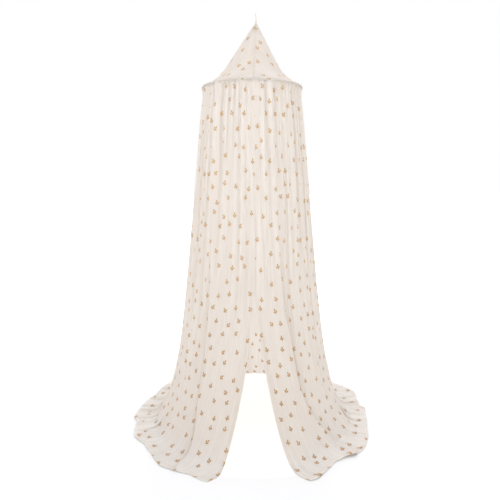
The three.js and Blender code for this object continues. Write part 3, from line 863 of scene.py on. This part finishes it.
for side, word in ((-1, "left"), (1, "right")):
    round_angle = np.linspace(0, math.pi, gore_columns)[None, :]
    gore_angle = round_angle + 0 * crown_radius
    from_ring = crown_down[-1] - crown_down
    fade = smooth(0, 0.05, crown_down) * smooth(0, 0.03, from_ring)
    slack = sum(depth * np.sin(count * round_angle + start + shift * side)
                for depth, count, start, shift in slack_waves) * fade
    pucker = (pucker_depth * np.sin(puckers_round * round_angle + 2 * np.sin(7 * round_angle))
              * smooth(0.05, 0.0, from_ring))
    from_seam = np.minimum(gore_angle, math.pi - gore_angle) * crown_radius
    groove = -groove_depth * np.exp(-((from_seam / groove_width) ** 2))
    open_cloth = smooth(0, seam_flat, from_seam)
    gore_offset = slack * open_cloth + pucker * open_cloth + groove
    radius = crown_radius + gore_offset * crown_out
    level = crown_level + gore_offset * crown_up
    points = np.stack([
        hoop_centre.x + radius * np.sin(gore_angle) * side + lean_at(level),
        hoop_centre.y - radius * np.cos(gore_angle),
        floor_level + level,
    ], axis=2)
    fan = (gore_angle - math.pi / 2) * gore_turn * side
    place = np.stack([-slant * np.sin(fan) + side * gore_cut_shift, -slant * np.cos(fan)], axis=2)
    # The left gore's rows run the other way, so that its faces point outwards too
    points, place, from_seam = points[:, ::side], place[:, ::side], from_seam[:, ::side]
    round_edge = np.broadcast_to(from_ring, from_seam.shape) - ring_seam_inset
    sewn, thick = sewn_edges([], [from_seam, round_edge],
                             np.broadcast_to(crown_down, from_seam.shape))
    piece = sheet_mesh(f"crown_gore_{word}_cloth", points, place, sewn, thick * felled_share,
                       crown_muslin, lined_thickness, lined_thickness + hem_extra)
    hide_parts(f"crown_gore_{word}")
    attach(piece, "crown_and_back")


# Hanging loop: a strip of the printed muslin folded to an 8 mm tape and stitched along both edges.
# Its two legs go down through the crown's tip and are sewn in between the gores.
tape_width = 0.008
tape_thickness = 0.0016
tape_edge_share = 0.45
tape_line_inset = 0.0006
tape_cut_place = (0.006, 0.021)
loop_height = 0.050
eye_radius = 0.0065
eye_neck = 0.014
leg_length = 0.026
loop_columns = 11
eye_reach = eye_radius + tape_thickness / 2
eye_level = tip_level + loop_height - tape_thickness / 2 - eye_reach
leg_levels = np.linspace(tip_level - leg_length, eye_level, 44)
spread = smooth(tip_level + seam_gap, tip_level + eye_neck + eye_radius, leg_levels)
leg_reach = (tape_thickness + seam_gap) / 2 * (1 - spread) + eye_reach * spread
eye_turn = np.linspace(0, math.pi, 26)[1:-1]
loop_y = np.concatenate([leg_reach, eye_reach * np.cos(eye_turn), -leg_reach[::-1]])
loop_z = np.concatenate([leg_levels, eye_level + eye_reach * np.sin(eye_turn), leg_levels[::-1]])
loop_run = np.hypot(np.diff(loop_y), np.diff(loop_z))
loop_down = np.concatenate([[0], np.cumsum(loop_run)])[:, None]
loop_share = np.linspace(-1, 1, loop_columns)[None, :]
flat_tape = 0 * loop_down + 0 * loop_share
waver = 0.0003 * np.sin(loop_down * 260) + 0.0002 * np.sin(loop_down * 610 + 1)
points = np.stack([
    hoop_centre.x + crown_lean + loop_share * (tape_width / 2) + waver,
    hoop_centre.y + loop_y[:, None] + flat_tape,
    floor_level + loop_z[:, None] + flat_tape,
], axis=2)
place = np.stack([loop_share * tape_width / 2 + tape_cut_place[0] + flat_tape,
                  loop_down + tape_cut_place[1] + flat_tape], axis=2)
edge_distance = (1 - abs(loop_share)) * tape_width / 2 + flat_tape
sewn, _ = sewn_edges([], [edge_distance + tape_line_inset], loop_down + flat_tape)
crowned = np.sqrt(np.maximum(1 - (abs(loop_share) * 0.97) ** 4, 0)) + flat_tape
loop = sheet_mesh("hanging_loop_tape", points, place, sewn, crowned, printed_muslin,
                  tape_thickness * tape_edge_share, tape_thickness)
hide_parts("hanging_loop")
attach(loop, "crown_and_back")


# Inner cloth: plain white cotton. A small cone patch backs the tip round the loop's legs, and two
# strips folded round the hoop's tube make its tunnel, open outwards where the ring seam holds them.
patch_start, patch_end = 0.0015, 0.034
patch_thickness = 0.0008
patch_hem_thickness = patch_thickness * 1.5
patch_hem_share = 0.3
patch_hem_inset = 0.001
patch_inset = 0.0014
patch_gap = 0.02
tunnel_radius = 0.0054
tunnel_slit = 0.0024
tunnel_pucker = 0.00028
tunnel_puckers = 130
threading_gap = 0.046
strip_thickness = 0.0009
# Heavier than the muslin and unprinted, so it looks plainer and lets less light through
plain_cotton = muslin("plain_cotton", printed=False, let_through=0.45)
share = np.linspace(patch_start / crown_height, patch_end / crown_height, 12)[:, None]
patch_radius, patch_level = crown_line(share)
patch_radius = patch_radius - patch_inset
round_angle = np.linspace(patch_gap, 2 * math.pi - patch_gap, 72)[None, :]
points = np.stack([
    hoop_centre.x + patch_radius * np.sin(round_angle) + lean_at(patch_level),
    hoop_centre.y - patch_radius * np.cos(round_angle),
    floor_level + patch_level + 0 * round_angle,
], axis=2)
patch_down = (share - share[0]) * crown_height + 0 * round_angle
place = np.stack([patch_radius * round_angle, patch_down], axis=2)
sewn, thick = sewn_edges([], [patch_down[-1:] - patch_down + patch_hem_inset],
                         patch_radius * round_angle)
patch = sheet_mesh("apex_patch_cloth", points, place, sewn, thick * patch_hem_share, plain_cotton,
                   patch_thickness, patch_hem_thickness)
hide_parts("apex_patch")
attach(patch, "crown_and_back")

slit_turn = tunnel_slit / 2 / tunnel_radius
section_turn = np.linspace(slit_turn, 2 * math.pi - slit_turn, 26)[:, None]
for side, word in ((-1, "left"), (1, "right")):
    first, last = seam_gap / 2 / hoop_radius, math.pi - threading_gap / 2 / hoop_radius
    round_angle = np.linspace(first, last, 220)[None, :]
    flat_strip = 0 * round_angle + 0 * section_turn
    pucker = (tunnel_pucker * np.sin(tunnel_puckers * round_angle + 3 * np.sin(9 * round_angle))
              * (1 - np.cos(section_turn)) / 2)
    reach_out = tunnel_radius + pucker * np.sin(section_turn * 2 + round_angle * 5)
    radius = hoop_radius + reach_out * np.cos(section_turn)
    points = np.stack([
        hoop_centre.x + radius * np.sin(round_angle) * side,
        hoop_centre.y - radius * np.cos(round_angle),
        floor_level + ring_level + reach_out * np.sin(section_turn),
    ], axis=2)
    place = np.stack([hoop_radius * round_angle * side + flat_strip,
                      tunnel_radius * section_turn + flat_strip], axis=2)
    # The right strip's rows run the other way, so that its faces point outwards too
    points, place = points[:, ::-side], place[:, ::-side]
    edges = np.minimum(section_turn - slit_turn, 2 * math.pi - slit_turn - section_turn)
    sewn, thick = sewn_edges([], [edges * tunnel_radius + flat_strip],
                             hoop_radius * round_angle + flat_strip)
    piece = sheet_mesh(f"hoop_tunnel_{word}_cloth", points, place, sewn, 0 * thick, plain_cotton,
                       strip_thickness, strip_thickness)
    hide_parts(f"hoop_tunnel_{word}")
    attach(piece, "crown_and_back")


# Hoop: four lengths of extruded white polyethylene tube with plugs inside their ends. The tube is
# satin with faint lines drawn along it, and slightly mottled where it has been bent.
tube_colour = "#F1F0EC"
tube_shade = "#E9E7E1"
mottles_per_metre = 60
drawn_lines_per_metre = (40, 40, 2600)
drawn_depth = 0.0004
drawn_strength = 0.12
tube_plastic = new_material("extruded_polyethylene")
tree = tube_plastic.node_tree
tube_place = add_node(tree, "ShaderNodeTexCoord")["Object"]
mottle = add_node(tree, "ShaderNodeTexNoise",
                  {"Vector": tube_place, "Scale": mottles_per_metre, "Detail": 3})[0]
mottled = add_node(tree, "ShaderNodeMix", {0: mottle, 6: tube_colour, 7: tube_shade},
                   data_type="RGBA")[2]
drawn = add_node(tree, "ShaderNodeMapping",
                 {"Vector": tube_place, "Scale": drawn_lines_per_metre})[0]
drawn_lines = add_node(tree, "ShaderNodeTexNoise", {"Vector": drawn, "Scale": 1, "Detail": 2})[0]
tube_bump = add_node(tree, "ShaderNodeBump", {"Height": drawn_lines, "Strength": drawn_strength,
                                              "Distance": drawn_depth})[0]
tube_face = add_node(tree, "ShaderNodeBsdfPrincipled",
                     {"Base Color": mottled, "Normal": tube_bump, "Roughness": 0.42})[0]
add_node(tree, "ShaderNodeOutputMaterial", [tube_face])
for name in ("arc_front_left", "arc_front_right", "arc_back_left", "arc_back_right",
             "plug_front", "plug_back", "plug_left", "plug_right"):
    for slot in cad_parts[f"hoop_{name}"].material_slots:
        slot.material = tube_plastic
